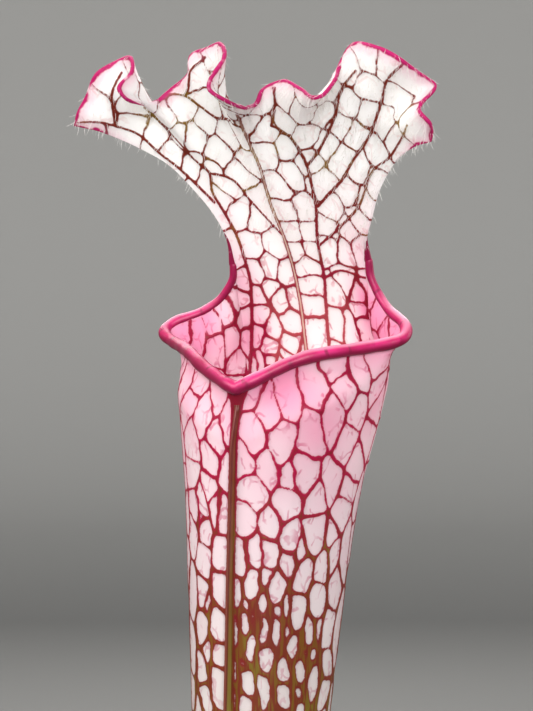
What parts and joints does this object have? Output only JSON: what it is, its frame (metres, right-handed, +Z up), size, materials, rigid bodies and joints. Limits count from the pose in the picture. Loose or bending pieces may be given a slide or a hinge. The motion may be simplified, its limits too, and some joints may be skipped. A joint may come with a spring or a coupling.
{
  "type": "potted pitcher plant",
  "caption": "Trumpet pitcher plant with a tall veined tube, a rolled lip and a ruffled hood, growing from a rhizome in a plain round pot of soil.",
  "frame": {"origin": "middle of the pot's flat underside", "axes": "+Z up along the pot and the pitcher; the pitcher's keel and mouth face -Y"},
  "size_m": [0.14, 0.14, 0.5201],
  "materials": {
    "pitcher_skin": "satin",
    "lip_skin": "gloss",
    "vein_skin": "satin",
    "green_leaf": "satin",
    "rhizome_bark": "rough",
    "peat": "rough",
    "pot_plastic": "matt"
  },
  "bodies": {
    "root": {"pitcher_leaf": "pitcher_skin", "pitcher_lip": "lip_skin", "tube_vein_net": "vein_skin", "hood_vein_net": "vein_skin", "sword_leaf_left": "green_leaf", "sword_leaf_back": "green_leaf", "sword_leaf_right": "green_leaf", "young_pitcher": "green_leaf", "rhizome": "rhizome_bark", "soil": "peat", "pot": "pot_plastic"}
  },
  "joints": []
}
